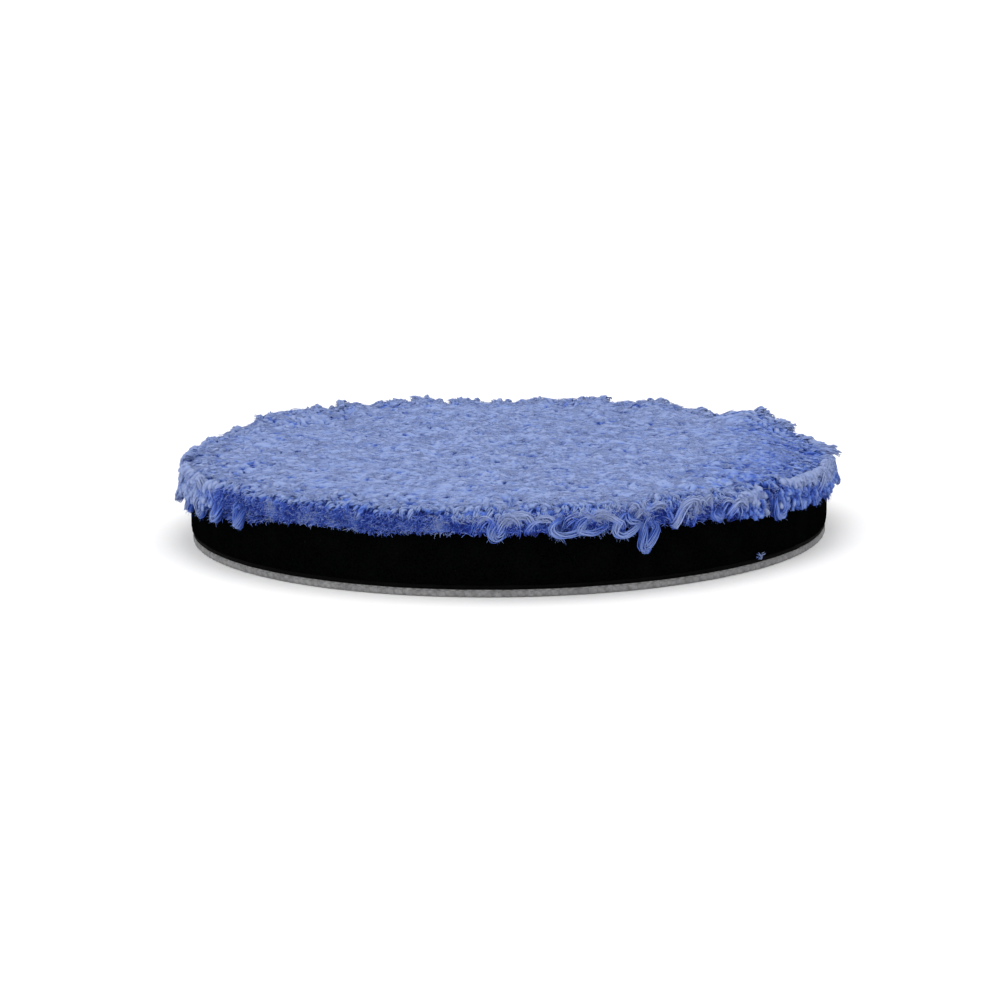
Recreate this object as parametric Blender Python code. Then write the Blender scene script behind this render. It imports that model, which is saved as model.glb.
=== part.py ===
"""A 150 mm polishing pad: a microfibre pile face on a foam disc, with a loop backing.

The pad lies on its loop backing. The origin is the centre of the backing's bottom face, and +Z
points up through the layers to the polishing face. Lengths are in metres.
"""

import math

import bmesh
import bpy

# Driving dimensions
FOAM_RADIUS = 0.0750  # the pad's nominal 150 mm
BACKING_INSET = 0.0003  # the backing is cut this much smaller than the foam
LOOP_NAP_THICKNESS = 0.0010
BACKING_CLOTH_THICKNESS = 0.0006
GLUE_FILM_THICKNESS = 0.0002
FOAM_THICKNESS = 0.0106
PILE_CLOTH_THICKNESS = 0.0008
PILE_HEIGHT = 0.0045  # the pile's own height above its cloth
PILE_OVERHANG = 0.0025  # how far the pile reaches past the foam's side
PILE_DROOP = 0.0016  # how far the pile's lip hangs below the top of its cloth
PILE_EDGE_ROUNDING = 0.0025
YARN_DIAMETER = 0.0014
LOOP_BELLY = 0.0004  # how far a rim loop swings out at its lowest point
LOOP_LEG = 0.0003  # straight length at the top of a rim loop's legs
GAP = 0.0003  # clearance between pieces that touch

# Rim loops: place round the rim and width between the legs, both in degrees of the rim from +X,
# and length below the lip in millimetres. The most open loops are near the front, at -90 degrees.
RIM_LOOPS = (
    (-172, 2.6, 3.0),
    (-161, 2.7, 3.6),
    (-154, 2.6, 3.2),
    (-147, 2.7, 2.4),
    (-140, 2.4, 2.2),
    (-92, 2.4, 1.9),
    (-81, 3.2, 1.9),
    (-76.8, 2.4, 1.9),
    (-71.5, 2.3, 2.2),
    (-67.7, 2.3, 3.7),
    (-55, 2.6, 1.9),
    (-40, 2.7, 2.4),
    (-34, 2.4, 1.9),
    (-27, 2.6, 1.9),
    (-20, 2.6, 2.0),
    (-6, 2.7, 2.3),
    (17, 2.6, 2.4),
    (38, 2.6, 2.0),
    (59, 2.6, 2.6),
    (84, 2.7, 2.2),
    (104, 2.6, 2.4),
    (127, 2.6, 2.2),
    (146, 2.7, 2.8),
    (166, 2.6, 2.3),
)
MM = 0.001

# Facets
RING_SEGMENTS = 96
ROUNDING_STEPS = 5
LOOP_STEPS = 10
YARN_BEVEL_RESOLUTION = 1

# Sizes that follow from the ones above
BACKING_RADIUS = FOAM_RADIUS - BACKING_INSET
PILE_INNER_RADIUS = FOAM_RADIUS + GAP
PILE_OUTER_RADIUS = FOAM_RADIUS + PILE_OVERHANG
LIP_ROUNDING = (PILE_OUTER_RADIUS - PILE_INNER_RADIUS) / 2
YARN_RADIUS = YARN_DIAMETER / 2
LOOP_RADIUS = max(PILE_INNER_RADIUS + LIP_ROUNDING, PILE_INNER_RADIUS + YARN_RADIUS)


def finish(name, colour, roughness):
    """A non-metallic Principled BSDF material."""
    made = bpy.data.materials.new(name)
    made.use_nodes = True
    shader = made.node_tree.nodes["Principled BSDF"]
    shader.inputs["Base Color"].default_value = (*colour, 1.0)
    shader.inputs["Roughness"].default_value = roughness
    shader.inputs["Metallic"].default_value = 0.0
    made.diffuse_color = (*colour, 1.0)
    return made


def placed(name, data, material):
    """An object of this data in the scene, with its material."""
    data.materials.append(material)
    made = bpy.data.objects.new(name, data)
    bpy.context.scene.collection.objects.link(made)
    return made


def turned(name, outline, material):
    """A solid of revolution about Z. Its outline of (radius, height) points runs from the rim of
    one flat end, round the outside, to the rim of the other."""
    bm = bmesh.new()
    verts = [bm.verts.new((radius, 0, height)) for radius, height in outline]
    edges = [bm.edges.new(pair) for pair in zip(verts, verts[1:])]
    bmesh.ops.spin(
        bm,
        geom=verts + edges,
        cent=(0, 0, 0),
        axis=(0, 0, 1),
        angle=math.tau,
        steps=RING_SEGMENTS,
        use_merge=True,
    )
    bmesh.ops.holes_fill(bm, edges=bm.edges[:])
    bmesh.ops.recalc_face_normals(bm, faces=bm.faces[:])
    mesh = bpy.data.meshes.new(name)
    bm.to_mesh(mesh)
    bm.free()
    mesh.shade_smooth()
    mesh.set_sharp_from_angle(angle=math.radians(30))
    return placed(name, mesh, material)


def layer(name, radius, bottom, thickness, material):
    """A flat disc of the stack. Returns the height where the next one starts."""
    top = bottom + thickness
    turned(name, [(radius, bottom), (radius, top)], material)
    return top + GAP


def arc(centre, radius, start, end):
    """Points along an arc of the outline, its angles in degrees from the radial direction."""
    for step in range(ROUNDING_STEPS + 1):
        angle = math.radians(start + (end - start) * step / ROUNDING_STEPS)
        yield centre[0] + radius * math.cos(angle), centre[1] + radius * math.sin(angle)


def pile(name, bottom, material):
    """The pile as one soft lid: flat on its cloth, round at its edge, with a lip that hangs over
    the cloth's and the foam's edge. Returns the height of the lip's lowest point."""
    top = bottom + PILE_HEIGHT
    lowest = bottom - GAP - PILE_DROOP
    lip_centre = (PILE_INNER_RADIUS + LIP_ROUNDING, lowest + LIP_ROUNDING)
    edge_centre = (PILE_OUTER_RADIUS - PILE_EDGE_ROUNDING, top - PILE_EDGE_ROUNDING)
    outline = [
        (PILE_INNER_RADIUS, bottom),
        *arc(lip_centre, LIP_ROUNDING, -180, 0),
        *arc(edge_centre, PILE_EDGE_ROUNDING, 0, 90),
    ]
    turned(name, outline, material)
    return lowest


def rim_loop(name, place, width, length, top, material):
    """One yarn loop that hangs outside the foam, both legs ending below the pile's lip. Its place
    and width are angles round the rim."""
    curve = bpy.data.curves.new(name, "CURVE")
    curve.dimensions = "3D"
    curve.bevel_depth = YARN_RADIUS
    curve.bevel_resolution = YARN_BEVEL_RESOLUTION
    curve.use_fill_caps = True
    bend = [math.pi * step / LOOP_STEPS for step in range(LOOP_STEPS + 1)]
    reach = length - YARN_RADIUS - LOOP_LEG
    path = [(0, 0), *((turn, LOOP_LEG + reach * math.sin(turn)) for turn in bend), (math.pi, 0)]
    spline = curve.splines.new("POLY")
    spline.points.add(len(path) - 1)
    for point, (turn, drop) in zip(spline.points, path):
        radius = LOOP_RADIUS + LOOP_BELLY * math.sin(turn)
        angle = place - width / 2 * math.cos(turn)
        point.co = (radius * math.cos(angle), radius * math.sin(angle), top - drop, 1)
    return placed(name, curve, material)


def clear_scene():
    """Removes the objects that are already there."""
    for thing in list(bpy.data.objects):
        bpy.data.objects.remove(thing)


def build():
    """The pad's layers from the loop backing up, then the loops round its rim."""
    grey_nap = finish("grey_loop_nap", (0.42, 0.42, 0.44), 0.95)
    grey_cloth = finish("grey_backing_cloth", (0.30, 0.30, 0.32), 0.90)
    glue = finish("dark_glue", (0.05, 0.05, 0.055), 0.60)
    black_foam = finish("black_foam", (0.006, 0.006, 0.007), 0.95)
    blue_cloth = finish("blue_pile_cloth", (0.06, 0.10, 0.42), 0.90)
    blue_pile = finish("blue_pile", (0.16, 0.23, 0.66), 0.90)
    blue_yarn = finish("blue_yarn", (0.13, 0.20, 0.62), 0.85)

    height = layer("loop_nap", BACKING_RADIUS, 0, LOOP_NAP_THICKNESS, grey_nap)
    height = layer("backing_cloth", BACKING_RADIUS, height, BACKING_CLOTH_THICKNESS, grey_cloth)
    height = layer("backing_glue_film", BACKING_RADIUS, height, GLUE_FILM_THICKNESS, glue)
    height = layer("foam_core", FOAM_RADIUS, height, FOAM_THICKNESS, black_foam)
    height = layer("face_glue_film", FOAM_RADIUS, height, GLUE_FILM_THICKNESS, glue)
    height = layer("pile_cloth", FOAM_RADIUS, height, PILE_CLOTH_THICKNESS, blue_cloth)
    lip = pile("microfibre_pile", height, blue_pile)

    for number, (place, width, length) in enumerate(RIM_LOOPS, 1):
        rim_loop(
            f"rim_yarn_{number:02}",
            math.radians(place),
            math.radians(width),
            length * MM,
            lip - GAP,
            blue_yarn,
        )


clear_scene()
build()
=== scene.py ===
"""Looks of the polishing pad: a bed of twisted microfibre yarns on a black foam disc, with a grey
loop backing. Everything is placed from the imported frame, in metres."""

import math

import bpy
import numpy as np
from mathutils import Matrix, Vector


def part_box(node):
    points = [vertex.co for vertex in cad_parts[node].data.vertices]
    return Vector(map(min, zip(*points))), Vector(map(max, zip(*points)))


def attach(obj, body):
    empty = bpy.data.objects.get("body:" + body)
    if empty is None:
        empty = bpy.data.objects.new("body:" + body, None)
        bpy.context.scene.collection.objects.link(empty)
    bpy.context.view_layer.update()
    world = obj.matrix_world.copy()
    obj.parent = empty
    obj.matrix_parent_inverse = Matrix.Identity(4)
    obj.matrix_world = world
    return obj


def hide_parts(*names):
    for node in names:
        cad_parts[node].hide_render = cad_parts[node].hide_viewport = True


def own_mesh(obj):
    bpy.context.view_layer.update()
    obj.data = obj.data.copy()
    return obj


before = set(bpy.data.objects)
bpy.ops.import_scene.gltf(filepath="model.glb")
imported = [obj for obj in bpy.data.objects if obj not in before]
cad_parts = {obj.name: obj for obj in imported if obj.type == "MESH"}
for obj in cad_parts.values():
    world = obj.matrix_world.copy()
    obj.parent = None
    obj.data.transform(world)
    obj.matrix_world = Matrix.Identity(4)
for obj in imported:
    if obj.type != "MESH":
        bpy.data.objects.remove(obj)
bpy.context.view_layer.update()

MM = 0.001

# Places that the frame gives
FACE_BODY = "polishing_face"
BASE_BODY = "backing_and_foam"
PILE_LOW, PILE_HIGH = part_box("microfibre_pile")
CLOTH_LOW, CLOTH_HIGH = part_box("pile_cloth")
FOAM_LOW, FOAM_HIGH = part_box("foam_core")
BACK_FILM_LOW, BACK_FILM_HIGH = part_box("backing_glue_film")
BACKING_LOW, BACKING_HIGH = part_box("backing_cloth")
NAP_LOW, NAP_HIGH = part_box("loop_nap")
PILE_TOP = PILE_HIGH.z
CLOTH_TOP = CLOTH_HIGH.z
LIP = PILE_LOW.z
PILE_RADIUS = PILE_HIGH.x
FOAM_RADIUS = FOAM_HIGH.x
BACKING_RADIUS = NAP_HIGH.x

# The camera stands at the photograph's angle
CAMERA_ELEVATION = math.radians(10.51)
CAMERA_DISTANCE = 0.600
CAMERA_ROLL = math.radians(-0.83)
CAMERA_LENS = 90.9  # on a sensor 36 mm wide
CAMERA_SHIFT = (-0.0085, -0.0148)
LOOK_AT = Vector((0, 0, 0.010))
FLOOR_SIZE = 30.0

# Pile
TOP_YARN_SPACING = 1.32 * MM
TOP_YARN_RADIUS = 0.62 * MM
RIM_YARNS_FROM = 69.0 * MM  # outside this radius the yarns show their plies and hang over the edge
RIM_YARN_SPACING = 1.5 * MM
RIM_YARN_PLIES = 6
RIM_PLY_CIRCLE = 0.42 * MM  # from a yarn's middle to the middle of its plies
RIM_PLY_RADIUS = 0.25 * MM
PAINTED_SHADE_DEPTH = 1.5 * MM  # the depth under the tips over which the painted shade darkens
PILE_PIECES = 8
FOLD_PLACE = -42.0  # a fold that runs over the edge there, in degrees round the rim
FOAM_CLEARANCE = 0.45 * MM  # between the foam's side and the roots that hang outside it
ROOTS_INNER = FOAM_RADIUS + FOAM_CLEARANCE
UP = np.array([0, 0, 1.0])

# How many fibres and yarns are drawn, before the ones that fall outside their zone are dropped
MATTED_FIBRES = 13000
SIDE_FIBRES = 30000
CURLED_ENDS = 4600
ARCHES = 72
LOOP_FUZZ = 120
LINT_FIBRES = 26


# ---- random fields and curves


def unit(vectors):
    """The vectors, each of length one."""
    return vectors / np.maximum(np.linalg.norm(vectors, axis=-1, keepdims=True), 1e-12)


def waves(points, size, seed, count=24):
    """A smooth random field over points, of about unit variance, with ripples of this size."""
    rng = np.random.default_rng(seed)
    directions = unit(rng.normal(size=(count, points.shape[-1])))
    lengths = size * rng.uniform(0.6, 1.6, size=(count, 1))
    phases = rng.uniform(0, math.tau, size=count)
    ripples = np.sin(points @ (directions * math.tau / lengths).T + phases)
    return ripples.sum(-1) / math.sqrt(count / 2)


def bump(angle, centre, width):
    """A smooth hump of height one round the rim, its centre and half width in degrees."""
    away = (np.degrees(angle) - centre + 180) % 360 - 180
    return np.exp(-((away / width) ** 2))


def plateau(angle, start, end, soft=5):
    """One between two places round the rim, in degrees, and zero outside them."""
    half = ((end - start) % 360) / 2
    away = np.abs((np.degrees(angle) - start - half + 180) % 360 - 180)
    return 1 / (1 + np.exp((away - half) / soft * 4))


def heading(angle):
    """Unit vectors (..., 2) in the directions of these angles."""
    return np.stack([np.cos(angle), np.sin(angle)], -1)


def at(angle, radius, height):
    """Points (..., 3) from their angles round the pad's axis, radii and heights."""
    return np.stack([radius * np.cos(angle), radius * np.sin(angle), height], -1)


def rim_directions(angle):
    """Unit vectors out from the pad's axis and along its rim at these angles, (n, 3) each."""
    return at(angle, 1.0, 0 * angle), at(angle + math.pi / 2, 1.0, 0 * angle)


def bezier(ends, steps):
    """Points along cubic curves: from (curves, 4, 3) control points to (curves, steps, 3)."""
    t = np.linspace(0, 1, steps)[None, :, None]
    a, b, c, d = (ends[:, index, None, :] for index in range(4))
    u = 1 - t
    return u**3 * a + 3 * u * u * t * b + 3 * u * t * t * c + t**3 * d


def controls(*points):
    """Bezier control points (curves, 4, 3), from four arrays of points."""
    return np.stack(points, 1)


def frames(paths):
    """Two unit vectors across each path of (paths, steps, 3), which turn with it."""
    along = unit(np.gradient(paths, axis=1))
    chord = paths[:, -1] - paths[:, 0]
    middle = paths[:, paths.shape[1] // 2] - paths[:, 0]
    side = np.cross(middle, chord)
    flat = np.linalg.norm(side, axis=1) < 1e-10
    side[flat] = np.cross(chord[flat], (0.3, 0.5, 0.81))
    side = unit(side)[:, None, :]
    across = unit(side - (side * along).sum(-1, keepdims=True) * along)
    return across, np.cross(along, across)


def tubes(paths, rng, radius, lobes=0, twist=0.0, sides=6, lump=0.12, tip=0.55):
    """One thick yarn along each path, (paths, steps, sides, 3). Its section is lobed, as of a few
    plies, and turns along the yarn."""
    count, steps = paths.shape[:2]
    across, other = frames(paths)
    t = np.linspace(0, 1, steps)[None, :, None]
    spin = np.arange(sides) * math.tau / sides
    turn = rng.uniform(0, math.tau, (count, 1, 1)) + twist * t
    taper = np.interp(t, (0, 0.5, 0.8, 1), (1, 1, 0.92, tip))
    reach = radius * taper * (1 + lobes * np.cos(spin * sides / 2))
    reach = reach * rng.uniform(0.8, 1.2, (count, 1, 1))
    reach = reach * (1 + lump * rng.normal(0, 1, (count, steps, sides)).clip(-2, 2))
    ring = np.cos(spin + turn)[..., None] * across[:, :, None]
    ring = ring + np.sin(spin + turn)[..., None] * other[:, :, None]
    return paths[:, :, None] + reach[..., None] * ring


def bundle(paths, rng, plies, radius, ply_radius, turns, fray=0.6, stray=0.0, sides=3, tip=0.25):
    """Plies that twist round each path, (paths * plies, steps, sides, 3). radius is from a yarn's
    middle to the middle of its plies. fray opens the bundle at its free end, and stray is how far
    each ply bows out of it."""
    count, steps = paths.shape[:2]
    across, other = (f[:, None, :, :] for f in frames(paths))
    t = np.linspace(0, 1, steps)[None, None, :]
    turn = rng.uniform(0, math.tau, (count, 1, 1)) + np.arange(plies)[None, :, None] * math.tau / plies
    turn = turn + turns * math.tau * t + rng.normal(0, 0.25, (count, plies, 1))
    reach = radius * rng.uniform(0.7, 1.25, (count, plies, 1)) * (1 + fray * t**2)
    centre = paths[:, None] + (np.cos(turn) * reach)[..., None] * across
    centre = centre + (np.sin(turn) * reach)[..., None] * other
    ripple = t[..., None] * rng.uniform(2, 7, (count, plies, 1, 3))
    ripple = ripple + rng.uniform(0, math.tau, (count, plies, 1, 3))
    centre = centre + np.sin(ripple) * stray * rng.uniform(0.3, 1.4, (count, plies, 1, 1))
    taper = np.interp(t, (0, 0.6, 0.85, 1), (1, 1, 0.8, tip))
    thick = ply_radius * rng.uniform(0.75, 1.2, (count, plies, 1)) * taper
    spin = np.arange(sides) * math.tau / sides
    spin = spin + rng.uniform(0, math.tau, (count, plies, 1, 1))
    ring = np.cos(spin)[..., None] * across[..., None, :]
    ring = ring + np.sin(spin)[..., None] * other[..., None, :]
    rings = centre[..., None, :] + thick[..., None, None] * ring
    return rings.reshape(count * plies, steps, sides, 3)


def fibres(paths, rng, radius, tip):
    """One plain fibre along each path, (paths, steps, sides, 3)."""
    return bundle(paths, rng, plies=1, radius=0, ply_radius=radius, turns=0, tip=tip)


# ---- meshes


def placed(name, data):
    """A new object in the scene with this mesh, lamp or camera."""
    thing = bpy.data.objects.new(name, data)
    bpy.context.scene.collection.objects.link(thing)
    return thing


def strands(name, rings, tint, painted_light, cell=None):
    """A mesh of closed strands. rings is (strands, steps, sides, 3), tint has a value for each
    strand and depth one for each point. cell numbers the yarns, which share a patch of the map."""
    count, steps, sides = rings.shape[:3]
    ring = np.arange(sides)
    start = (np.arange(count) * steps * sides)[:, None, None]
    low = start + (np.arange(steps - 1) * sides)[None, :, None]
    after = np.roll(ring, -1)
    quads = np.stack([low + ring, low + after, low + after + sides, low + ring + sides], -1).reshape(-1)
    first = (start[:, 0] + ring[::-1]).reshape(-1)
    last = (start[:, 0] + (steps - 1) * sides + ring).reshape(-1)
    loops = np.concatenate([quads, first, last]).astype(np.int32)
    sizes = np.concatenate([np.full(len(quads) // 4, 4), np.full(2 * count, sides)])
    mesh = bpy.data.meshes.new(name)
    mesh.vertices.add(count * steps * sides)
    mesh.vertices.foreach_set("co", rings.reshape(-1).astype(np.float32))
    mesh.loops.add(len(loops))
    mesh.loops.foreach_set("vertex_index", loops)
    mesh.polygons.add(len(sizes))
    starts = np.concatenate([[0], np.cumsum(sizes)[:-1]]).astype(np.int32)
    mesh.polygons.foreach_set("loop_start", starts)
    mesh.update(calc_edges=True)
    mesh.polygons.foreach_set("use_smooth", np.ones(len(sizes), bool))
    add_values(mesh, "tint", np.repeat(tint, steps * sides))
    add_values(mesh, "painted_light", painted_light)
    strand_map(mesh, loops, count, steps, sides, np.arange(count) if cell is None else cell)
    mesh.validate()
    return placed(name, mesh)


def strand_map(mesh, loops, count, steps, sides, cell):
    """A UV map in which each yarn has its own patch, its length running up the patch."""
    columns = int(math.ceil(math.sqrt(cell.max() + 1)))
    strand = loops // (steps * sides)
    step = loops // sides % steps
    side = loops % sides
    across = 0.1 + 0.8 * side / (sides - 1)
    up = 0.05 + 0.9 * step / (steps - 1)
    places = np.stack([cell[strand] % columns + across, cell[strand] // columns + up], -1) / columns
    layer = mesh.uv_layers.new(name="OFBake")
    layer.data.foreach_set("uv", places.reshape(-1).astype(np.float32))


def mesh_points(thing):
    """The corners of a mesh object, (n, 3)."""
    return np.array([vertex.co for vertex in thing.data.vertices])


def add_values(mesh, name, values):
    """Gives a mesh one number at each of its points, for its material to read."""
    layer = mesh.attributes.new(name, "FLOAT", "POINT")
    layer.data.foreach_set("value", values.reshape(-1).astype(np.float32))


def shown(piece, body, slot, material, *nodes):
    """Finishes a piece: its material, the body it rides on and the nodes it stands for. slot is not
    used.
    """
    piece.data.materials.clear()
    piece.data.materials.append(material)
    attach(piece, body)
    if nodes:
        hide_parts(*nodes)


def solid(name, points, faces, places=None):
    """A smooth mesh object from points (n, 3), a list of faces and the map place of each corner."""
    mesh = bpy.data.meshes.new(name)
    mesh.from_pydata(points.tolist(), [], faces)
    mesh.shade_smooth()
    if places is not None:
        mesh.uv_layers.new(name="OFBake").data.foreach_set("uv", places.reshape(-1).astype(np.float32))
    return placed(name, mesh)


def turned(name, outline, segments, relief=None):
    """A closed solid of revolution. outline is (radius, height) points from the middle of the
    bottom face to the middle of the top face, and relief moves the points of a (n, 3) array.
    Its map runs round the solid one way and along the outline the other way."""
    outline = np.array(outline)
    angle = np.arange(segments) * math.tau / segments
    rings = [at(angle, r, 0 * angle + z) for r, z in outline[1:-1]]
    ends = [(0, 0, outline[0, 1]), (0, 0, outline[-1, 1])]
    points = np.concatenate([*rings, ends])
    if relief:
        points = relief(points)
    run = np.concatenate([[0], np.cumsum(np.hypot(*np.diff(outline, axis=0).T))])
    run = run / run[-1]
    here = np.arange(segments)
    after = (here + 1) % segments
    left, right = here / segments, (here + 1) / segments

    def columns(*values):
        return np.stack([0 * here + value for value in values], -1)

    faces = columns(after, here, len(points) - 2).tolist()
    places = [columns(right, run[1], left, run[1], left, 0.0)]
    for ring in range(len(rings) - 1):
        base = ring * segments
        above = base + segments
        faces += columns(base + here, base + after, above + after, above + here).tolist()
        low, high = run[ring + 1], run[ring + 2]
        places.append(columns(left, low, right, low, right, high, left, high))
    base = (len(rings) - 1) * segments
    faces += columns(base + here, base + after, len(points) - 1).tolist()
    places.append(columns(left, run[-2], right, run[-2], left, 1.0))
    return solid(name, points, faces, np.concatenate([each.reshape(-1) for each in places]))


# ---- materials


def set_ramp(node, stops):
    """Puts (place, colour) stops on a colour ramp node."""
    points = node.color_ramp.elements
    while len(points) < len(stops):
        points.new(1.0)
    for point, (place, colour) in zip(points, stops):
        point.position = place
        point.color = (*colour, 1.0)


class Nodes:
    """A material's nodes, with short calls for the ones that are used here."""

    def __init__(self, name):
        self.material = bpy.data.materials.new(name)
        self.material.use_nodes = True
        self.tree = self.material.node_tree
        self.shader = self.tree.nodes["Principled BSDF"]
        self.place = self.add("ShaderNodeTexCoord", {}).outputs["Object"]

    def add(self, kind, inputs, **settings):
        """A new node with these settings, and its inputs linked to sockets or set to values."""
        node = self.tree.nodes.new(kind)
        for key, value in settings.items():
            setattr(node, key, value)
        return self.feed(node, inputs)

    def feed(self, node, inputs):
        for key, value in inputs.items():
            if isinstance(value, bpy.types.NodeSocket):
                self.tree.links.new(value, node.inputs[key])
            else:
                node.inputs[key].default_value = value
        return node

    def noise(self, scale, detail=2.0, roughness=0.5):
        inputs = {"Vector": self.place, "Scale": scale, "Detail": detail, "Roughness": roughness}
        return self.add("ShaderNodeTexNoise", inputs).outputs["Fac"]

    def cells(self, scale):
        inputs = {"Vector": self.place, "Scale": scale}
        return self.add("ShaderNodeTexVoronoi", inputs).outputs["Distance"]

    def attribute(self, name):
        return self.add("ShaderNodeAttribute", {}, attribute_name=name).outputs["Fac"]

    def maths(self, operation, first, second, clamp=False):
        inputs = {0: first, 1: second}
        return self.add("ShaderNodeMath", inputs, operation=operation, use_clamp=clamp).outputs[0]

    def span(self, value, low, high, to_low=0.0, to_high=1.0):
        inputs = {"Value": value, "From Min": low, "From Max": high}
        inputs |= {"To Min": to_low, "To Max": to_high}
        return self.add("ShaderNodeMapRange", inputs).outputs[0]

    def ramp(self, value, *stops):
        node = self.add("ShaderNodeValToRGB", {0: value})
        set_ramp(node, stops)
        return node.outputs["Color"]

    def mix(self, share, first, second):
        inputs = {"Factor": share, "A": first, "B": second}
        return self.add("ShaderNodeMix", inputs, data_type="RGBA").outputs["Result"]

    def bump(self, height, distance, strength=1.0, below=None):
        inputs = {"Height": height, "Distance": distance, "Strength": strength}
        if below:
            inputs["Normal"] = below
        return self.add("ShaderNodeBump", inputs).outputs["Normal"]

    def finish(self, colour, roughness, normal=None, sheen=0.0, sheen_tint=(1, 1, 1), specular=0.3):
        inputs = {
            "Base Color": colour,
            "Roughness": roughness,
            "Sheen Weight": sheen,
            "Sheen Roughness": 0.45,
            "Sheen Tint": (*sheen_tint, 1.0),
            "Specular IOR Level": specular,
        }
        if normal:
            inputs["Normal"] = normal
        self.feed(self.shader, inputs)
        return self.material


def yarn_material(name, lift=0.0, blue=1.0):
    """Microfibre yarn with painted shade: saturated blue where it lies deep in the pile or inward
    from the side, and pale periwinkle at the lit tips. It has mottled dye, pale fibre flecks that
    fade with the painted shade, and a little of the sheen of brushed cloth. lift makes it paler,
    and blue is the strength of its dye in the painted shade."""
    n = Nodes(name)
    patch = n.noise(90, 3.0)
    painted_light = n.maths("ADD", n.attribute("painted_light"), n.span(patch, 0.3, 0.7, -0.05 + lift, 0.05 + lift))
    painted_light = n.maths("ADD", painted_light, n.maths("MULTIPLY", n.attribute("tint"), 0.05))
    # painted shade: the ramp runs from dark saturated blue deep between the yarns to pale periwinkle
    # where they are lit
    colour = n.ramp(
        painted_light,
        (0.00, (0.011, 0.028, 0.22 * blue)),
        (0.25, (0.025, 0.066, 0.35 * blue)),
        (0.50, (0.070, 0.146, 0.52 * blue)),
        (0.75, (0.190, 0.268, 0.54 * blue)),
        (1.00, (0.250, 0.311, 0.530)),
    )
    fibres = n.noise(3600, 2.0, 0.6)
    # pale fibre flecks, which fade out in the painted shade
    pale = n.maths("MULTIPLY", n.span(fibres, 0.35, 0.75, 0.0, 0.35), painted_light, clamp=True)
    colour = n.mix(pale, colour, (0.26, 0.322, 0.54, 1.0))
    roughness = n.span(fibres, 0.3, 0.7, 0.85, 1.0)
    normal = n.bump(fibres, 0.00008, 0.5)
    return n.finish(colour, roughness, normal, 0.06, (0.75, 0.83, 1.0), specular=0.10)


def foam_material():
    """Black open-cell foam: small cells, dull, with a few pale specks of lint dust."""
    n = Nodes("black_foam_cells")
    cells = n.cells(2300)
    large = n.noise(160, 3.0)
    pores = n.span(cells, 0.15, 0.55)
    colour = n.ramp(pores, (0.0, (0.0002, 0.0002, 0.0002)), (1.0, (0.0009, 0.0011, 0.0010)))
    colour = n.mix(n.span(large, 0.45, 0.75, 0.0, 0.5), colour, (0.0020, 0.0023, 0.0021, 1.0))
    specks = n.span(n.cells(420), 0.045, 0.02)
    colour = n.mix(n.maths("MULTIPLY", specks, 0.5), colour, (0.03, 0.03, 0.03, 1.0))
    normal = n.bump(pores, 0.00018, 0.9)
    return n.finish(colour, n.span(cells, 0.1, 0.6, 0.92, 1.0), normal, specular=0.0)


def knit_material(name):
    """Grey knitted or brushed cloth, mottled, with darker specks, and painted shade in its grooves."""
    n = Nodes(name)
    dark, light = (0.132, 0.132, 0.136), (0.26, 0.26, 0.264)
    mottle = n.noise(650, 4.0, 0.65)
    patch = n.noise(60, 2.0)
    colour = n.ramp(mottle, (0.32, dark), (0.68, light))
    colour = n.mix(n.span(patch, 0.35, 0.7, 0.0, 0.25), colour, (*dark, 1.0))
    specks = n.span(n.cells(520), 0.09, 0.05)
    colour = n.mix(n.maths("MULTIPLY", specks, 0.55), colour, (0.03, 0.03, 0.035, 1.0))
    # painted shade in the grooves between the knitted ribs
    painted_groove_shade = n.span(n.attribute("rib"), 0.35, 0.0, 0.0, 0.45)
    colour = n.mix(painted_groove_shade, colour, (*(0.45 * part for part in dark), 1.0))
    fibres = n.noise(3200, 2.0, 0.6)
    normal = n.bump(mottle, 0.0001, 0.6, n.bump(fibres, 0.00006, 0.6))
    return n.finish(colour, n.span(fibres, 0.3, 0.7, 0.82, 1.0), normal, sheen=0.1)


def film_material():
    """A thin smoky film of hot-melt glue with a slightly uneven gloss. It is near black, partly the
    glue's own colour and partly painted shade for the gaps between the layers that it fills.
    """
    n = Nodes("glue_film_dark")
    flow = n.noise(220, 3.0)
    colour = n.ramp(flow, (0.3, (0.0006, 0.0006, 0.0006)), (0.7, (0.0024, 0.0024, 0.0025)))
    normal = n.bump(flow, 0.0001, 0.3)
    return n.finish(colour, n.span(flow, 0.3, 0.7, 0.75, 0.95), normal, specular=0.03)


def weave_material():
    """The dark blue ground cloth that carries the pile."""
    n = Nodes("blue_ground_weave")
    threads = {"Vector": n.place, "Scale": 420, "Distortion": 1.2}
    warp = n.add("ShaderNodeTexWave", threads, bands_direction="X")
    weft = n.add("ShaderNodeTexWave", threads, bands_direction="Y")
    woven = n.maths("MULTIPLY", warp.outputs["Fac"], weft.outputs["Fac"])
    colour = n.ramp(woven, (0.0, (0.010, 0.020, 0.13)), (0.7, (0.045, 0.080, 0.36)))
    return n.finish(colour, n.span(woven, 0, 1, 0.95, 0.8), n.bump(woven, 0.00015), 0.15)


# ---- camera, light and floor


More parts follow.
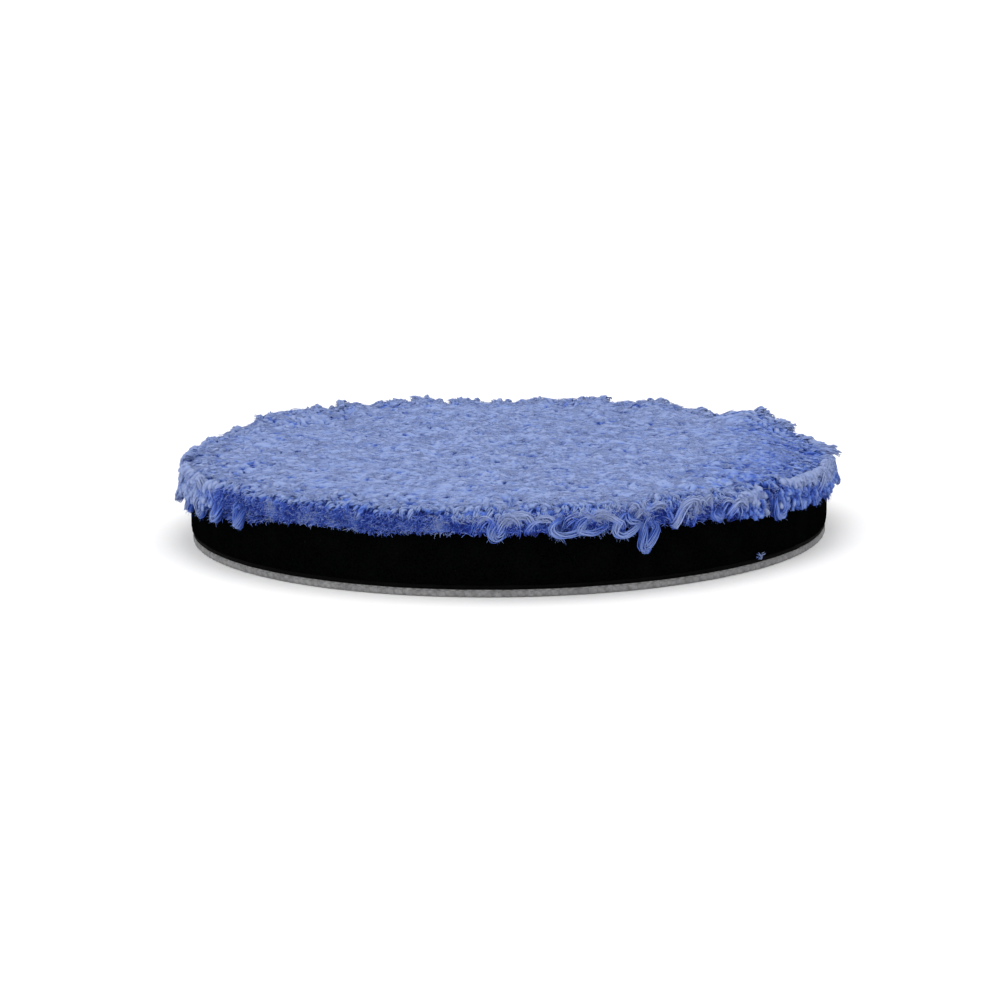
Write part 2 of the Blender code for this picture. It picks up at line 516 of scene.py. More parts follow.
def make_camera():
    """The photograph's view: from the front, a little above the pad, slightly rolled."""
    data = bpy.data.cameras.new("camera")
    data.lens = CAMERA_LENS
    data.sensor_width = 36
    data.shift_x, data.shift_y = CAMERA_SHIFT
    data.dof.use_dof = False
    data.clip_start, data.clip_end = 0.01, 20
    camera = placed("camera", data)
    back = Vector((0, -math.cos(CAMERA_ELEVATION), math.sin(CAMERA_ELEVATION)))
    turn = (-back).to_track_quat("-Z", "Y").to_matrix() @ Matrix.Rotation(CAMERA_ROLL, 3, "Z")
    camera.location = LOOK_AT + back * CAMERA_DISTANCE
    camera.rotation_euler = turn.to_euler()
    bpy.context.scene.camera = camera


def area_light(name, place, size, power, colour):
    data = bpy.data.lights.new(name, "AREA")
    data.shape = "DISK"
    data.size = size
    data.energy = power
    data.color = colour
    light = placed(name, data)
    light.location = place
    light.rotation_euler = (LOOK_AT - Vector(place)).to_track_quat("-Z", "Y").to_euler()


def make_stage():
    """A plain white floor, soft lights above and in front, and a white world."""
    corners = np.array([(-1, -1, 0), (1, -1, 0), (1, 1, 0), (-1, 1, 0)]) * FLOOR_SIZE / 2
    floor = solid("floor", corners + (0, 0, NAP_LOW.z - 0.1 * MM), [(0, 1, 2, 3)])
    n = Nodes("white_floor")
    colour = n.ramp(n.noise(3, 2.0), (0, (0.93, 0.93, 0.93)), (1, (0.97, 0.97, 0.97)))
    floor.data.materials.append(n.finish(colour, 0.9))

    world = bpy.data.worlds.new("studio")
    world.use_nodes = True
    tree = world.node_tree
    place = tree.nodes.new("ShaderNodeTexCoord")
    split = tree.nodes.new("ShaderNodeSeparateXYZ")
    ramp = tree.nodes.new("ShaderNodeValToRGB")
    tree.links.new(place.outputs["Generated"], split.inputs[0])
    tree.links.new(split.outputs["Z"], ramp.inputs[0])
    shades = ((0.03, 0.88), (0.08, 0.85), (0.4, 0.97), (1.0, 0.93))
    set_ramp(ramp, [(height, (shade,) * 3) for height, shade in shades])
    tree.links.new(ramp.outputs["Color"], tree.nodes["Background"].inputs["Color"])
    tree.nodes["Background"].inputs["Strength"].default_value = 1.2
    bpy.context.scene.world = world
    area_light("key", (0.05, -0.10, 1.1), size=0.9, power=2.7, colour=(1.0, 0.99, 0.98))
    area_light("front", (-0.55, -1.05, 0.40), size=0.8, power=3.0, colour=(1.0, 1.0, 1.0))
    bpy.context.scene.view_settings.view_transform = "Standard"


# ---- the shape of the pile


def polar(places):
    """The angle and radius of (..., 2 or 3) places round the pad's axis."""
    return np.arctan2(places[..., 1], places[..., 0]), np.hypot(places[..., 0], places[..., 1])


def cut_side(angle):
    """Where round the rim the pile is cut straight, so that its side shows as a flat band."""
    places = ((-148, -98), (20, 52), (108, 150))
    return np.max([plateau(angle, start, end) for start, end in places], axis=0)


def loose_rim(angle):
    """Where round the rim the pile's side is shaggy, with plump curled yarn ends."""
    return np.maximum(plateau(angle, 166, -150, 5), plateau(angle, -48, 14, 6))


def hang(angle):
    """How far the pile's lower edge hangs below its lip round the rim."""
    low = 2.2 * plateau(angle, -205, -134, 6) + 2.1 * plateau(angle, -50, 8, 7)
    return (low + 0.9 * bump(angle, -111, 4) + 0.8 * bump(angle, -145, 3)) * MM


def rim_reach(angle):
    """The pile's radius round the rim."""
    wavy = 0.35 * waves(heading(angle), 0.16, 11) + 0.25 * waves(heading(angle), 0.05, 12)
    return PILE_RADIUS + (wavy - 0.1 - 0.8 * cut_side(angle) - 2.6 * bump(angle, FOLD_PLACE, 1.5)) * MM


def top_height(places):
    """The height of the felted top over (x, y) places. It swells and dips along the rim, dips
    into the fold and is round over the edge."""
    angle, radius = polar(places)
    flat = places[..., :2]
    rolling = 0.20 * waves(flat, 22 * MM, 21) + 0.12 * waves(flat, 6 * MM, 22)
    broad = ((1.7, 97, 156, 14), (0.9, 54, 84, 12), (-2.3, -14, 19, 8))
    local = ((2.0, 32, 6), (-1.0, 97, 6), (0.8, 139, 6), (-1.1, 41, 5), (0.8, 59, 4))
    swell = sum(rise * plateau(angle, *place) for rise, *place in broad) - 0.35
    swell = swell + sum(rise * bump(angle, *place) for rise, *place in local)
    swell = swell - 4.0 * bump(angle, FOLD_PLACE, 1.5)
    swell = swell + 0.24 * waves(heading(angle), 0.11, 24) + 0.15 * waves(heading(angle), 0.04, 25)
    near = np.clip((radius - 60 * MM) / (12 * MM), 0, 1)
    over = np.clip((radius - 72.5 * MM) / (4.5 * MM), 0, 1.2)
    fall = 2.4 - 1.8 * plateau(angle, -146, -100, 5)
    return PILE_TOP + (rolling + 0.05 + swell * near**2 * (3 - 2 * near) - fall * over**2) * MM


def brushed(points):
    """The points, pressed down where they stand above a level just under the felt's top."""
    level = top_height(points) - 0.55 * MM
    above = np.maximum(points[..., 2] - level, 0)
    points = points.copy()
    points[..., 2] -= 0.68 * above
    return points


def pits(places):
    """0 where the felt is closed and up to 1 in the small gaps that open in it, in clusters."""
    gaps = waves(places, 2.8 * MM, 27, 40) + 0.5 * waves(places, 12 * MM, 28) + 0.45 * looseness(places)
    return np.clip((gaps - 0.88) / 0.40, 0, 1)


def looseness(places):
    """How coarse and open the pile is: up to 0.8 at the pad's sides, and 0 in its middle."""
    angle, radius = polar(places)
    sides = np.maximum(0.5 * plateau(angle, 172, -138, 8), 0.8 * plateau(angle, -45, 25, 8))
    return sides * np.clip((radius - 48 * MM) / (18 * MM), 0, 1)


def right_side(places):
    """1 on the pad's right, where the pile is drawn darker and bluer, and 0 elsewhere."""
    angle, radius = polar(places)
    return plateau(angle, -45, 25, 8) * np.clip((radius - 45 * MM) / (20 * MM), 0, 1)


def roughness(places):
    """How uneven the tips stand, in metres."""
    return (0.06 + 0.22 * looseness(places)) * MM


def painted_light_at(points):
    """The painted light of the pile: 1 where it is lit at the pile's outside, and 0 in the painted
    shade deep between its yarns.
    """
    angle, radius = polar(points)
    # painted shade deepens with the depth below the felt's top, and the pad's right is drawn a little
    # darker
    from_top = 1.15 - 0.22 * right_side(points) - (top_height(points) - points[..., 2]) / PAINTED_SHADE_DEPTH
    # painted light: the yarns that hang over the left rim are drawn lighter, against the shade under
    # them
    pale = 0.60 + 0.45 * plateau(angle, 172, -152, 6)
    from_side = pale - (rim_reach(angle) - radius) / (1.6 * PAINTED_SHADE_DEPTH)
    return np.clip(np.maximum(from_top, from_side), 0, 1)


def grid(spacing, inner, outer, rng):
    """Where yarns stand on their cloth, a jittered triangular grid of (x, y) in a ring."""
    half = int(outer / spacing * 1.2) + 1
    i, j = (axis.reshape(-1) for axis in np.mgrid[-half : half + 1, -half : half + 1])
    places = np.stack([(i + 0.5 * (j % 2)) * spacing, j * spacing * math.sqrt(0.75)], -1)
    places = places + rng.uniform(-0.32, 0.32, places.shape) * spacing
    radius = np.hypot(*places.T)
    return places[(radius >= inner) & (radius < outer)]


def brushing(places, rng):
    """The way the yarns' tips are brushed over, (n, 2) unit vectors."""
    return heading(1.9 * waves(places, 14 * MM, 31) + rng.normal(0, 0.9, len(places)))


# ---- the pile


def shown_pile(piece, material):
    """Finishes a piece of the pile. They all stand for the pile's one CAD node."""
    shown(piece, FACE_BODY, "pile", material, "microfibre_pile")


def make_bed(material):
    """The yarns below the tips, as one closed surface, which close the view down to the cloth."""
    side, top = PILE_RADIUS - 1.2 * MM, PILE_TOP

    def relief(points):
        angle, radius = polar(points)
        flat = points[:, :2]
        upper = np.clip((points[:, 2] - LIP - 1 * MM) / (top - LIP - 3 * MM), 0, 1)
        outer = np.clip((radius - 66 * MM) / (side - 66 * MM), 0, 1)
        pillows = 0.12 * waves(flat, 2.6 * MM, 41) - 0.5 - 1.2 * outer - 1.3 * pits(flat)
        within = np.minimum(1, 72.5 * MM / np.maximum(radius, MM))[:, None]
        points[:, 2] += upper * (top_height(within * flat) - PILE_TOP + pillows * MM)
        outer = np.clip((radius - 70 * MM) / (side - 70 * MM), 0, 1)
        lumps = 0.16 * waves(points, 2.4 * MM, 42) + 0.10 * waves(points, 1.2 * MM, 43)
        wanted = np.maximum(rim_reach(angle) - 1.35 * MM + lumps * MM, ROOTS_INNER)
        moved = radius + outer * (wanted - side)
        points[:, :2] *= (moved / np.maximum(radius, 1e-6))[:, None]
        return points

    low = CLOTH_TOP + 0.1 * MM
    curve = 2.2 * MM
    rounding = [
        (side - curve * (1 - math.cos(a)), top - curve * (1 - math.sin(a)))
        for a in np.linspace(0, math.pi / 2, 7)
    ]
    outline = [(0, low), (ROOTS_INNER, low)]
    outline += [(ROOTS_INNER + 0.02 * MM, LIP + 0.5 * MM), (side - 0.3 * MM, LIP + 0.6 * MM)]
    outline += [(side, z) for z in np.linspace(LIP + 1.0 * MM, top - curve, 8)[:-1]]
    outline += [*rounding, *((r, top) for r in np.linspace(side - curve, 0, 104)[1:])]
    piece = turned("pile_roots", outline, 620, relief)
    points = mesh_points(piece)
    # painted shade: darker deep in the pile and inward from its side, and darker still in the felt's
    # gaps
    add_values(piece.data, "painted_light", (painted_light_at(points) - 0.6 * pits(points[:, :2])).clip(0, 1))
    shown_pile(piece, material)


def top_yarns(rng):
    """The curled yarns of the face, as Bezier control points (yarns, 4, 3)."""
    roots = grid(TOP_YARN_SPACING, 0, FOAM_RADIUS - 1.5 * MM, rng)
    count = len(roots)
    lean = brushing(roots, rng) * rng.uniform(0.9, 2.3, (count, 1)) * MM
    tip = roots + lean
    lone = (rng.uniform(0, 1, count) < 0.04) * rng.uniform(0.3, 1.0, count)
    uneven = rng.normal(0, 1, count) * roughness(roots) - (1.6 * pits(tip) + lone) * MM
    top = (top_height(tip) - TOP_YARN_RADIUS + uneven)[:, None]
    return controls(
        np.hstack([roots, top - 1.5 * MM]),
        np.hstack([roots + 0.05 * lean, top + 0.1 * MM]),
        np.hstack([roots + 0.6 * lean, top + 0.25 * MM]),
        np.hstack([tip, top - rng.uniform(0.0, 0.35, (count, 1)) * MM]),
    )


def in_slices(name, rings, tint, cell, material):
    """Strand pieces like slices of a cake, from rings (strands, steps, sides, 3)."""
    angle = polar(rings[:, -1, 0])[0]
    slice_of = (angle / math.tau % 1 * PILE_PIECES).astype(int)
    painted_light = painted_light_at(rings)
    for number in range(PILE_PIECES):
        mine = slice_of == number
        cells = np.unique(cell[mine], return_inverse=True)[1]
        piece = strands(f"{name}_{number + 1}", rings[mine], tint[mine], painted_light[mine], cells)
        shown_pile(piece, material)


def make_top(material):
    """The felted top: short curled yarns side by side."""
    rng = np.random.default_rng(5)
    paths = bezier(top_yarns(rng), 5)
    rings = brushed(tubes(paths, rng, TOP_YARN_RADIUS, lobes=0.12, twist=2.2, lump=0.07, tip=0.65))
    count = len(rings)
    in_slices("pile_top", rings, rng.normal(0, 1, count), np.arange(count), material)


def rim_yarns(rng):
    """The yarns along the edge, which hang over it, as control points (yarns, 4, 3)."""
    roots = grid(RIM_YARN_SPACING, RIM_YARNS_FROM, FOAM_RADIUS - 0.3 * MM, rng)
    count = len(roots)
    angle, radius = polar(roots)
    outward = roots / radius[:, None]
    edge = np.clip((radius - RIM_YARNS_FROM) / (FOAM_RADIUS - RIM_YARNS_FROM), 0, 1)[:, None]
    lean = brushing(roots, rng) * rng.uniform(0.6, 1.8, (count, 1)) * MM * (1 - 0.7 * edge)
    thickness = RIM_PLY_CIRCLE + RIM_PLY_RADIUS
    out = (rim_reach(angle) - radius - thickness)[:, None] * outward
    tip = roots + lean + out * edge
    free = 1 - 0.45 * cut_side(angle)[:, None] - 0.25 * loose_rim(angle)[:, None]
    length = PILE_TOP - LIP - 1.8 * MM + hang(angle)[:, None]
    fall = edge**1.5 * length * rng.uniform(0.25, 1.05, (count, 1)) * free
    top = (top_height(roots + lean + 0.4 * out * edge) - thickness)[:, None]
    top = top + rng.normal(0, 1.3, (count, 1)) * roughness(roots)[:, None]
    return controls(
        np.hstack([roots, top - 1.8 * MM]),
        np.hstack([roots + 0.1 * lean + 0.15 * edge * out, top + 0.3 * MM]),
        np.hstack([tip, top + 0.2 * MM - 0.25 * fall]),
        np.hstack([tip, top - 0.4 * MM - fall]),
    )


def make_rim(material):
    """The twisted yarns along the edge, with their plies open at the ends."""
    rng = np.random.default_rng(6)
    paths = bezier(rim_yarns(rng), 6)
    paths = paths + np.stack([waves(paths, 1.6 * MM, seed) for seed in (92, 93, 94)], -1) * 0.22 * MM
    yarns, plies = len(paths), RIM_YARN_PLIES
    look = {"turns": 0.7, "fray": 0.25, "stray": 0.12 * MM}
    rings = brushed(bundle(paths, rng, plies, RIM_PLY_CIRCLE, RIM_PLY_RADIUS, **look))
    tint = np.repeat(rng.normal(0, 1, yarns), plies) + rng.normal(0, 0.6, yarns * plies)
    in_slices("pile_rim", rings, tint, np.repeat(np.arange(yarns), plies), material)


def hairs(name, curves, rng, radius, lighter=0.0, steps=4):
    """A mesh of loose fibres along Bezier curves."""
    rings = fibres(bezier(curves, steps), rng, radius, tip=0.35)
    return strands(name, rings, rng.normal(0, 1, len(rings)), painted_light_at(rings) + lighter)


def make_top_fibres(material):
    """Loose fibres that lie matted over the yarns' tips."""
    rng = np.random.default_rng(7)
    count = MATTED_FIBRES
    radius = np.sqrt(rng.uniform(0, 1, count)) * (FOAM_RADIUS + 0.6 * MM)
    start = radius[:, None] * heading(rng.uniform(0, math.tau, count))
    ahead = brushing(start, rng)
    side = np.stack([-ahead[:, 1], ahead[:, 0]], -1)
    length = rng.uniform(1.0, 3.2, (count, 1)) * MM
    curl = rng.normal(0, 0.45, (count, 1)) * length
    points = []
    stages = ((0, 0, -0.7, -0.3), (0.33, 1, -0.3, 0.05), (0.66, 1, -0.3, 0.05), (1, 0, -0.6, -0.2))
    for share, curled, lowest, highest in stages:
        place = start + share * length * ahead + curled * curl * side
        height = top_height(place)[:, None] + rng.uniform(lowest, highest, (count, 1)) * MM
        points.append(np.hstack([place, height]))
    curves = np.stack(points, 1)
    end_angle, end_radius = polar(curves[:, 3])
    inside = end_radius < FOAM_RADIUS + (1.2 - 1.6 * cut_side(end_angle)) * MM
    shown_pile(hairs("pile_matted_fibres", curves[inside], rng, 0.05 * MM), material)


def make_side_fibres(material):
    """Short fibres out of the pile's side, densest where the side is cut straight."""
    rng = np.random.default_rng(9)
    angle = rng.uniform(0, math.tau, SIDE_FIBRES)
    angle = angle[rng.uniform(0, 1, SIDE_FIBRES) < 0.45 + 0.55 * cut_side(angle)]
    count = len(angle)
    out, side = rim_directions(angle)
    lowest = LIP + 0.45 * MM - 0.8 * hang(angle)
    highest = top_height(73.5 * MM * out) - 1.3 * MM
    height = lowest + rng.uniform(0, 1, count) * (highest - lowest)
    start = at(angle, np.maximum(rim_reach(angle) - 1.1 * MM, ROOTS_INNER), height)
    reach = rng.uniform(0.6, 1.25, (count, 1)) * MM
    drop = rng.normal(-0.2, 0.32, (count, 1)) * MM
    drift = rng.normal(0, 0.6, (count, 1)) * MM
    curves = controls(
        start,
        start + 0.5 * reach * out + 0.1 * drift * side,
        start + 0.95 * reach * out + 0.5 * drift * side + 0.3 * drop * UP,
        start + 0.9 * reach * out + drift * side + drop * UP,
    )
    clump = 0.20 * waves(start, 1.0 * MM, 95) + rng.normal(-0.02, 0.07, count)
    shown_pile(hairs("pile_side_fibres", curves, rng, 0.055 * MM, clump[:, None, None]), material)


def make_clumps(material):
    """Plump curled yarn ends that stand out of the pile's side where it is shaggy."""
    rng = np.random.default_rng(14)
    angle = rng.uniform(0, math.tau, CURLED_ENDS)
    share = loose_rim(angle) * (1 - bump(angle, FOLD_PLACE, 2.2))
    angle = angle[rng.uniform(0, 1, CURLED_ENDS) < share]
    count = len(angle)
    out, side = rim_directions(angle)
    lowest = LIP + 0.9 * MM - 0.7 * hang(angle)
    highest = top_height(74.5 * MM * out) - 0.7 * MM
    climb = rng.uniform(0, 1, count)
    start = at(angle, rim_reach(angle) - 2.6 * MM, lowest + climb * (highest - lowest))
    reach = (2.2 + rng.uniform(-0.5, 0.4, count) - 0.6 * climb**2)[:, None] * MM * out
    drift = rng.normal(0, 0.8, (count, 1)) * MM * side
    sag = rng.uniform(0.3, 1.5, (count, 1)) * MM * UP
    curves = controls(
        start,
        start + 0.5 * reach + 0.2 * drift + 0.4 * MM * UP,
        start + reach + 0.6 * drift,
        start + 0.95 * reach + drift - sag,
    )
    rings = tubes(bezier(curves, 6), rng, 0.58 * MM, lobes=0.18, twist=2.4, lump=0.12, tip=0.7)
    piece = strands("pile_curled_ends", rings, rng.normal(0, 1.4, count), painted_light_at(rings) - 0.06)
    shown_pile(piece, material)


# Tufts that stand up from the rim: place round it in degrees, how high and how far out in mm
RIM_TUFTS = (
    (166, 0.4, 0.2), (155, 0.3, 0), (145, 0.3, 0), (133, 0.5, 0),
    (127, 0.8, 0), (122, 0.4, 0), (113, 0.4, 0), (108, 0.5, 0),
    (104, 0.4, 0), (99, 0.6, 0), (92, 0.3, 0), (84, 0.4, 0),
    (74, 0.6, 0), (70, 0.4, 0), (59, 1.1, 0.1), (47, 0.4, 0.1),
    (38, 0.5, 0.2), (31, 1.0, 0.2), (23, 0.7, 0.5), (14, 0.7, 0.9),
    (7, 0.6, 1.4), (3, 0.4, 3.2), (-4, 0.3, 1.3), (-10, 0.3, 1.0),
    (-176, 0.2, 0.5), (177, 0.3, 0.5),
)


def make_tufts(material):
    """Small tufts of short yarns round the rim, and one thin spike of fibres at the front."""
    rng = np.random.default_rng(10)
    curves = []
    yarns = 7
    for place, rise, reach in RIM_TUFTS:
        angle = math.radians(place) + rng.normal(0, 0.020, yarns)
        out, side = (each[:, :2] for each in rim_directions(angle))
        along = side * rng.normal(0, 0.8, (yarns, 1)) * MM
        start = rng.uniform(72.6, 74.4, (yarns, 1)) * MM * out
        end = (75.6 + reach + rng.uniform(-0.4, 0.3, (yarns, 1))) * MM * out + along
        low = (top_height(start) - 1.2 * MM)[:, None]
        high = low + (0.5 + 0.8 * rise * rng.uniform(0.3, 1.2, (yarns, 1))) * MM
        points = [(start, low), (0.8 * start + 0.2 * end, high)]
        points.append((0.1 * start + 0.9 * end, high + 0.2 * MM))
        points.append((end + 0.3 * along, high - rng.uniform(0.4, 1.0, (yarns, 1)) * MM))
        curves.append(np.stack([np.hstack(point) for point in points], 1))
    paths = bezier(np.concatenate(curves), 6)
    look = {"turns": 0.8, "fray": 0.3, "stray": 0.15 * MM}
    rings = bundle(paths, rng, plies=7, radius=0.40 * MM, ply_radius=0.20 * MM, **look)
    tint = rng.normal(0, 1, len(rings))
    shown_pile(strands("pile_tufts", rings, tint, painted_light_at(rings) * 0.9), material)

    count = 9
    foot = np.stack([rng.normal(0, 0.25, count), rng.normal(-72.5, 0.25, count)], -1) * MM
    low = (top_height(foot) - 0.4 * MM)[:, None]
    lean = np.array([0.5, 0.2]) * MM + rng.normal(0, 0.12, (count, 2)) * MM
    rise = rng.uniform(1.2, 2.9, (count, 1)) * MM
    spike = np.stack([np.hstack([foot + lean * t**2, low + rise * t]) for t in (0, 0.35, 0.7, 1.0)], 1)
    shown_pile(hairs("pile_spike", spike, rng, 0.12 * MM, lighter=-0.3, steps=6), material)


# ---- loops on the rim


def loop_size(node):
    """Where a CAD loop hangs: its place round the rim, radius, half width and lowest point."""
    points = mesh_points(node)
    middle = math.atan2(points[:, 1].mean(), points[:, 0].mean())
    angle, radius = polar(points)
    away = (angle - middle + math.pi) % math.tau - math.pi
    radius = radius.mean()
    return middle, radius, (away.max() - away.min()) / 2 * radius, points[:, 2].min()


def ring_path(middle, radius, half, lowest, top, steps, proud):
    """An open ring of yarn that hangs before the pile's side, its two ends going into the pile."""
    open_from = math.pi - 0.45  # the top stays open, by 0.45 radians on each side
    turn = np.linspace(-open_from, open_from, steps)
    height = (top + lowest) / 2 - (top - lowest) / 2 * np.cos(turn)
    angle = middle + half / radius * np.sin(turn) * (1 + 0.15 * np.cos(turn))
    inward = 2.2 * MM * np.clip(np.abs(turn) / math.pi - 0.62, 0, 1)
    return at(angle, radius + proud + 0.35 * np.cos(turn) * MM - inward, height)


def arch_paths(rng, steps):
    """Yarns that come out of the pile's side, arch up over its edge and go back in."""
    places = np.radians(np.arange(ARCHES) * 360 / ARCHES + rng.uniform(-1.8, 1.8, ARCHES))
    kept = rng.uniform(0, 1, ARCHES) < 0.7 - 0.9 * cut_side(places) - bump(places, FOLD_PLACE, 5)
    # more of them at the front, at listed places
    front = np.radians([-90.0, -87.5, -85, -78.5, -74.5, -69.5, -64.5, -61, -56, -52])
    places = np.concatenate([places[kept], front])
    paths = []
    for middle in places:
        half = rng.uniform(1.1, 3.1) * MM
        low = LIP + rng.uniform(0.4, 1.4) * MM - 0.7 * float(hang(middle))
        top = LIP + rng.uniform(3.2, 4.9) * MM
        turn = np.linspace(-0.35, math.pi + 0.35, steps)
        height = low + (top - low) * np.sin(turn) + rng.normal(0, 1.2) * MM * np.cos(turn)
        height = np.maximum(height, LIP + 0.2 * MM - float(hang(middle)))
        reach = float(rim_reach(middle)) + rng.uniform(-0.5, 0.2) * MM
        inward = 2.4 * np.clip(0.55 - np.sin(turn), 0, 1) + 0.5 * np.sin(turn).clip(0, 1)
        angle = middle - half / reach * np.cos(turn)
        paths.append(at(angle, reach - (0.5 + inward) * MM, height))
    return np.array(paths)


def make_arches(material):
    """The fanned plies of the yarns that arch over the edge."""
    rng = np.random.default_rng(12)
    paths = arch_paths(rng, 12)
    paths = paths + waves(paths, 3 * MM, 91)[..., None] * 0.12 * MM
    look = {"turns": 0.5, "fray": 0.1, "stray": 0.28 * MM, "tip": 0.8}
    rings = bundle(paths, rng, plies=17, radius=0.52 * MM, ply_radius=0.14 * MM, **look)
    piece = strands("pile_arched_yarns", rings, rng.normal(0.2, 1, len(rings)), painted_light_at(rings) + 0.02)
    shown_pile(piece, material)


def loop_fuzz(path, rng):
    """Rings of the loose fibres that stand off along one loop's path, (steps, 3)."""
    steps = len(path)
    start = path[rng.integers(1, steps - 1, LOOP_FUZZ)]
    away = unit(rng.normal(size=(LOOP_FUZZ, 3)) + unit(start * (1, 1, 0)) * 0.5)
    reach = rng.uniform(0.8, 1.9, (LOOP_FUZZ, 1)) * MM
    curves = np.stack([start + share * reach * away for share in (0, 0.4, 0.8, 1)], 1)
    curves[:, 3] -= 0.2 * MM * UP
    return fibres(bezier(curves, steps), rng, 0.03 * MM, tip=0.4)


def make_rim_loops(material):
    """A coil of twisted yarn in place of each rim loop, with loose fibres along it."""
    rng = np.random.default_rng(13)
    steps = 18
    thick = 0.75 * MM
    for name in sorted(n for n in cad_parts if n.startswith("rim_yarn")):
        middle, radius, half, lowest = loop_size(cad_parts[name])
        # the front loops are wide rings, and they and the one at -55 degrees hang less low
        ringed = float(plateau(middle, -87, -69.6, 2))
        raised = float(plateau(middle, -97, -69.6, 2)) + 1.5 * float(plateau(middle, -60, -50, 2))
        half = max(half - thick, 0.7 * MM) * (0.7 + 0.8 * ringed)
        top = LIP + (2.6 + 1.4 * ringed + rng.uniform(-0.6, 0.6)) * MM
        lowest = lowest + thick + (0.5 * ringed + 1.2 * raised) * MM
        proud = (0.5 * ringed + 0.1) * MM
        path = ring_path(middle, radius, half, lowest, top, steps, proud)[None]
        path = path + waves(path, 5 * MM, 100 + int(name[-2:]))[..., None] * 0.32 * MM
        plies = 20 + int(8 * (1 - ringed))
        spread = (0.48 + 0.22 * (1 - ringed)) * MM
        look = {"turns": 0.8, "fray": 0.2, "stray": 0.30 * MM, "tip": 0.9}
        rings = bundle(path, rng, plies, spread, 0.135 * MM, **look)
        core = fibres(path, rng, spread - 0.04 * MM, tip=0.9)
        every = np.concatenate([rings, core, loop_fuzz(path[0], rng)])
        # painted light: each loop is drawn lighter on its outer side and in painted shade inside and at
        # its core; its parts above the pile's lip are a little lighter, and the loops on the left
        # lighter still
        outside = np.clip((polar(every)[1] - radius + 0.2 * MM) / (1.6 * MM), 0, 1)
        pale = 0.60 + 0.25 * float(plateau(middle, 166, -150))
        painted_light = 0.05 + pale * outside + 0.1 * (every[..., 2] > LIP)
        painted_light[plies] = 0.1
        piece = strands(f"{name}_twist", every, rng.normal(0.4, 0.9, len(every)), painted_light)
        shown(piece, FACE_BODY, "rim_yarn", material, name)


# ---- layers under the pile


def make_foam(material):
    """The foam disc, with a slightly uneven cut side."""
    low, high = FOAM_LOW.z - 0.1 * MM, FOAM_HIGH.z + 0.1 * MM
    edge = 0.25 * MM
    side = [(FOAM_RADIUS, z) for z in np.linspace(low + edge, high - edge, 14)]
    across = np.linspace(0, FOAM_RADIUS - edge, 8)
    outline = [*((r, low) for r in across), *side, *((r, high) for r in across[::-1])]

    def relief(points):
        radius = polar(points)[1]
        rim = np.clip((radius - FOAM_RADIUS + 1 * MM) / (1 * MM), 0, 1)
        rough = 0.05 * waves(points, 1.6 * MM, 51) + 0.06 * waves(points, 7 * MM, 52)
        scale = 1 + (rim * (rough - 0.04) * MM) / np.maximum(radius, 1 * MM)
        points[:, :2] *= scale[:, None]
        return points

    piece = turned("foam_cells", outline, 600, relief)
    shown(piece, BASE_BODY, "foam", material, "foam_core")
    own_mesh(piece)


def make_lint(material):
    """A blue lint flock at the foam's foot, to the right of the front."""
    rng = np.random.default_rng(17)
    count = LINT_FIBRES
    angle = math.radians(-43.5) + rng.normal(0, 0.007, count)
    out, side = rim_directions(angle)
    start = at(angle, FOAM_RADIUS + 0.1 * MM, BACK_FILM_HIGH.z + rng.uniform(0.1, 1.3, count) * MM)
    curl = rng.normal(0, 0.5, (count, 3)) * MM
    reach = 0.45 * MM * out
    across = rng.normal(0, 0.5, (count, 1)) * MM * side
    far, near = start + reach + across, start + 0.4 * reach + across
    curves = controls(start, start + reach + 0.2 * curl, far, near)
    curves[:, 2:, 2] += curl[:, None, 2]
    curves[:, :, 2] = np.maximum(curves[:, :, 2], BACK_FILM_LOW.z)
    lint = hairs("foam_lint", curves, rng, 0.07 * MM, lighter=0.6, steps=5)
    shown(lint, BASE_BODY, "rim_yarn", material)


def make_film(node, name, body, material, spread):
    """A glue film with a slightly wavy edge. spread is how far it fills the gaps below and above
    it, in mm, as a dark sheet that stands for the shade in them: painted shade."""
    low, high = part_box(node)
    radius = high.x - 0.1 * MM

    def relief(points):
        flat = points[:, :2]
        wavy = 0.06 * waves(flat, 5 * MM, 61) * MM * (polar(points)[1] > radius * 0.9)
        points[:, :2] += unit(flat) * wavy[:, None]
        return points

    low, high = low.z - spread[0] * MM, high.z + spread[1] * MM
    across = (0, radius * 0.6, radius)
    outline = [*((r, low) for r in across), *((r, high) for r in across[::-1])]
    shown(turned(name, outline, 240, relief), body, "glue_film", material, node)


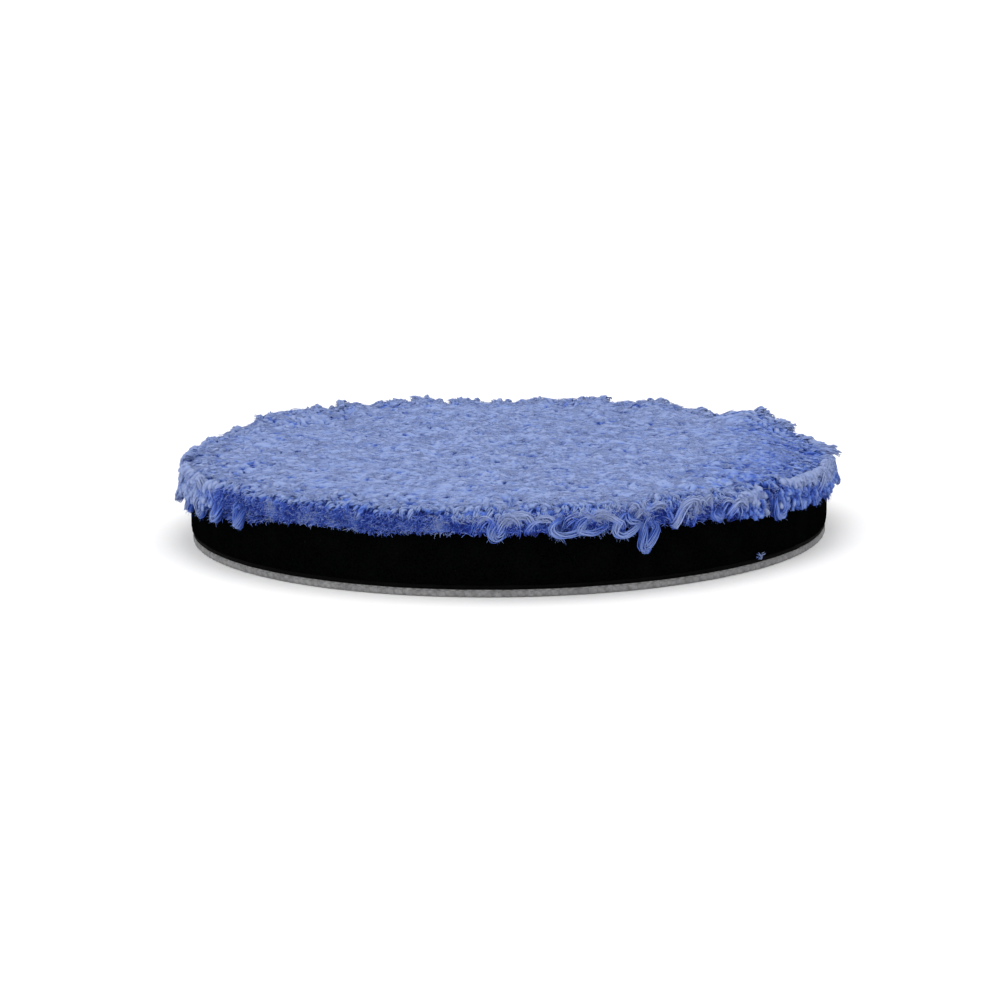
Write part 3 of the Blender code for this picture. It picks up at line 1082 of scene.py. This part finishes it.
def ribbed(name, low, high, radius, ribs, rib_depth, segments, seed, rough, rounds=(0.15, 0.15)):
    """A cloth disc whose cut edge shows its knitted columns as ribs. rounds is how far the lower
    and the upper edge are rounded, in mm."""
    under, over = rounds[0] * MM, rounds[1] * MM
    corner = [(1 - math.cos(a), 1 - math.sin(a)) for a in np.linspace(0, math.pi / 2, 4)]
    side = [(radius - under * inward, low + under * up) for inward, up in corner[::-1]]
    side += [(radius - over * inward, high - over * down) for inward, down in corner]
    across = np.linspace(0, radius - max(under, over), 30)[:-1]
    outline = [*((r, low) for r in across), *side, *((r, high) for r in across[::-1])]

    def rib_at(points):
        turn = (polar(points)[0] + (points[:, 2] - low) / radius * 0.6) * ribs
        return (0.5 + 0.5 * np.cos(turn + 0.9 * waves(points, 9 * MM, seed))) ** 2

    def relief(points):
        out = polar(points)[1]
        rim = np.clip((out - radius + 0.8 * MM) / (0.8 * MM), 0, 1)
        push = rim * (rib_depth * (rib_at(points) - 0.8) + rough * waves(points, 0.9 * MM, seed + 1))
        points[:, :2] *= (1 + push / np.maximum(out, 1 * MM))[:, None]
        points[:, 2] += (1 - rim) * rough * 0.6 * waves(points[:, :2], 1.5 * MM, seed + 2)
        return points

    piece = turned(name, outline, segments, relief)
    # the rib profile, which the knit material reads to paint shade into the grooves
    add_values(piece.data, "rib", rib_at(mesh_points(piece)))
    return piece


def make_backing(cloth_material, nap_material):
    """The grey loop cloth: its knitted ground, and the brushed nap under it."""
    ribs = 250
    low, high = BACKING_LOW.z - 0.02 * MM, BACKING_HIGH.z - 0.35 * MM
    knit = {"ribs": ribs, "rib_depth": 0.22 * MM, "segments": ribs * 5, "seed": 71, "rough": 0.03 * MM}
    cloth = ribbed("backing_knit", low, high, BACKING_RADIUS, rounds=(0.02, 0.15), **knit)
    shown(cloth, BASE_BODY, "backing_cloth", cloth_material, "backing_cloth")
    low, high = NAP_LOW.z + 0.02 * MM, NAP_HIGH.z + 0.27 * MM
    nap = ribbed("loop_nap_felt", low, high, BACKING_RADIUS, rounds=(0.25, 0.02), **knit)
    shown(nap, BASE_BODY, "loop_nap", nap_material, "loop_nap")


def make_pile_cloth(material):
    """The woven cloth that carries the pile."""
    radius = FOAM_RADIUS - 0.1 * MM
    weave = {"ribs": 300, "rib_depth": 0.1 * MM, "segments": 900, "seed": 81, "rough": 0.02 * MM}
    piece = ribbed("pile_ground_weave", CLOTH_LOW.z, CLOTH_HIGH.z, radius, **weave)
    shown(piece, FACE_BODY, "pile_cloth", material, "pile_cloth")


# ---- the pad


def make_pad():
    yarn = yarn_material("microfibre_yarn")
    make_bed(yarn)
    make_top(yarn)
    make_rim(yarn)
    make_top_fibres(yarn_material("microfibre_tips", lift=0.05))
    side = yarn_material("microfibre_side", blue=1.17)
    make_side_fibres(side)
    make_clumps(yarn_material("microfibre_ends", lift=0.03))
    make_tufts(yarn)
    make_arches(side)
    make_rim_loops(yarn_material("rim_yarn_blue", lift=0.03, blue=1.05))
    make_pile_cloth(weave_material())
    film = film_material()
    make_film("face_glue_film", "face_glue", FACE_BODY, film, (0.05, 0.05))
    make_foam(foam_material())
    make_lint(yarn)
    make_film("backing_glue_film", "backing_glue", BASE_BODY, film, (0.55, 0.28))
    make_backing(knit_material("grey_knit"), knit_material("grey_brushed_nap"))


make_camera()
make_stage()
make_pad()
